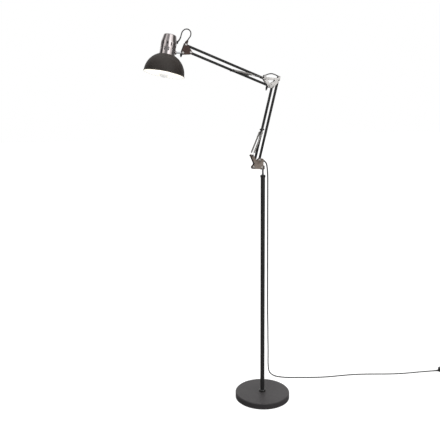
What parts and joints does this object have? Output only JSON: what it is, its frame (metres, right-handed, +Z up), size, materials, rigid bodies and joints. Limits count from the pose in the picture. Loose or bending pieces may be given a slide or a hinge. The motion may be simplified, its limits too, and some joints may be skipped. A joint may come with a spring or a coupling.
{
  "type": "floor lamp",
  "caption": "Adjustable arm floor lamp: round weighted base, slim pole, two sprung parallelogram arms and a tilting domed shade on a vented cap.",
  "frame": {"origin": "centre of the underside of the base disc, on the floor", "axes": "+Z up along the pole; the arms lie in the XZ plane and reach out towards -X"},
  "size_m": [1.7231, 0.3856, 1.5928],
  "materials": {
    "black_paint": "satin black powder coat",
    "black_gloss": "glossy black moulding",
    "black_plastic": "matt black moulding",
    "cast_iron": "raw casting",
    "pad": "dense foam pad",
    "steel": "zinc-plated steel",
    "nickel": "satin nickel plate",
    "pewter": "dark pewter plate",
    "black_nickel": "polished black nickel",
    "spring_wire": "oiled spring wire",
    "nylon": "natural nylon",
    "cable": "black PVC sheath",
    "bulb_glass": "opal glass",
    "white_plastic": "white lampholder",
    "shade_paint": "black outside, white enamel inside"
  },
  "bodies": {
    "stand": {"base_cover": "black_paint", "base_weight": "cast_iron", "base_pad": "pad", "foot_collar": "black_gloss", "pole_lower": "black_paint", "pole_upper": "black_paint", "pole_coupler": "steel", "pole_bush": "nylon", "top_collar": "black_gloss", "set_screw": "black_plastic", "lead_main": "cable", "lead_tail": "cable", "switch_body": "black_plastic", "plug": "black_plastic"},
    "switch_rocker": {"switch_rocker": "black_plastic"},
    "foot_bracket": {"swivel_pin": "steel", "foot_block": "black_plastic", "foot_plate_near": "pewter", "foot_plate_far": "pewter", "foot_bolts": "nickel", "foot_spring_studs": "black_plastic", "lead_guide": "black_plastic", "lead_top": "cable"},
    "lower_front_bar": {"lower_front_bar": "black_paint", "lower_front_plugs": "black_plastic", "lower_spring_stud": "black_plastic", "lower_spring_near": "spring_wire", "lower_spring_far": "spring_wire"},
    "lower_rear_bar": {"lower_rear_bar": "black_paint", "lower_rear_plugs": "black_plastic"},
    "elbow": {"elbow_plate_near": "nickel", "elbow_plate_far": "nickel", "elbow_bolts": "nickel", "elbow_clamp_bolt": "steel", "elbow_spring_studs": "nickel", "elbow_rivet": "black_plastic", "elbow_outlets": "black_plastic", "elbow_loop": "cable"},
    "elbow_wing_nut": {"elbow_wing_nut": "black_plastic"},
    "upper_top_bar": {"upper_top_bar": "black_paint", "upper_top_plugs": "black_plastic"},
    "upper_bottom_bar": {"upper_bottom_bar": "black_paint", "upper_bottom_plugs": "black_plastic", "upper_spring_stud": "black_plastic", "upper_spring_near": "spring_wire", "upper_spring_far": "spring_wire"},
    "head_bracket": {"head_plate_near": "pewter", "head_plate_far": "pewter", "head_bolts": "nickel", "tilt_bolt": "steel", "head_outlet": "black_plastic", "head_loop": "cable"},
    "head_wing_nut": {"head_wing_nut": "black_plastic"},
    "knuckle": {"knuckle": "steel"},
    "lamp_head": {"shade": "shade_paint", "cap": "black_nickel", "head_gland": "black_plastic", "lampholder": "white_plastic", "shade_ring": "black_plastic", "bulb": "bulb_glass"}
  },
  "joints": [
    {"name": "arm_swivel", "type": "hinge", "parent": "stand", "child": "foot_bracket", "pos_m": [0, 0, 1.0145], "axis": [0, 0, 1], "range_deg": [-170, 170], "deforming": ["lead_top"]},
    {"name": "lower_arm", "type": "hinge", "parent": "foot_bracket", "child": "lower_front_bar", "pos_m": [-0.047, 0, 1.05], "axis": [0, 1, 0], "range_deg": [-60, 12], "deforming": ["lower_spring_near", "lower_spring_far"]},
    {"name": "lower_rear_link", "type": "hinge", "parent": "foot_bracket", "child": "lower_rear_bar", "pos_m": [-0.018, 0, 1.0785], "axis": [0, 1, 0], "range_deg": [-60, 12]},
    {"name": "elbow_level", "type": "hinge", "parent": "lower_front_bar", "child": "elbow", "pos_m": [0.04293, 0, 1.381], "axis": [0, 1, 0], "range_deg": [-12, 60]},
    {"name": "upper_arm", "type": "hinge", "parent": "elbow", "child": "upper_top_bar", "pos_m": [0.00683, 0, 1.413], "axis": [0, 1, 0], "range_deg": [-45, 18]},
    {"name": "upper_lower_link", "type": "hinge", "parent": "elbow", "child": "upper_bottom_bar", "pos_m": [0.02633, 0, 1.385], "axis": [0, 1, 0], "range_deg": [-45, 18], "deforming": ["upper_spring_near", "upper_spring_far"]},
    {"name": "head_level", "type": "hinge", "parent": "upper_top_bar", "child": "head_bracket", "pos_m": [-0.34364, 0, 1.53163], "axis": [0, 1, 0], "range_deg": [-18, 45]},
    {"name": "head_tilt", "type": "hinge", "parent": "head_bracket", "child": "knuckle", "pos_m": [-0.35694, 0, 1.50163], "axis": [0, 1, 0], "range_deg": [-55, 35], "deforming": ["head_loop"]},
    {"name": "head_turn", "type": "hinge", "parent": "knuckle", "child": "lamp_head", "pos_m": [-0.41834, 0, 1.50163], "axis": [1, 0, 0], "range_deg": [-80, 80]},
    {"name": "elbow_clamp", "type": "hinge", "parent": "elbow", "child": "elbow_wing_nut", "pos_m": [0.02633, 0.01015, 1.385], "axis": [0, 1, 0], "continuous": true},
    {"name": "tilt_clamp", "type": "hinge", "parent": "head_bracket", "child": "head_wing_nut", "pos_m": [-0.35694, 0.01015, 1.50163], "axis": [0, 1, 0], "continuous": true},
    {"name": "switch_press", "type": "hinge", "parent": "stand", "child": "switch_rocker", "pos_m": [0.93766, -0.18914, 0.0155], "axis": [0.3457, 0.9383, 0], "range_deg": [-16, 0]}
  ],
  "couplings": [
    {"joint": "lower_rear_link", "follows": "lower_arm", "ratio": 1},
    {"joint": "elbow_level", "follows": "lower_arm", "ratio": -1},
    {"joint": "upper_lower_link", "follows": "upper_arm", "ratio": 1},
    {"joint": "head_level", "follows": "upper_arm", "ratio": -1}
  ]
}
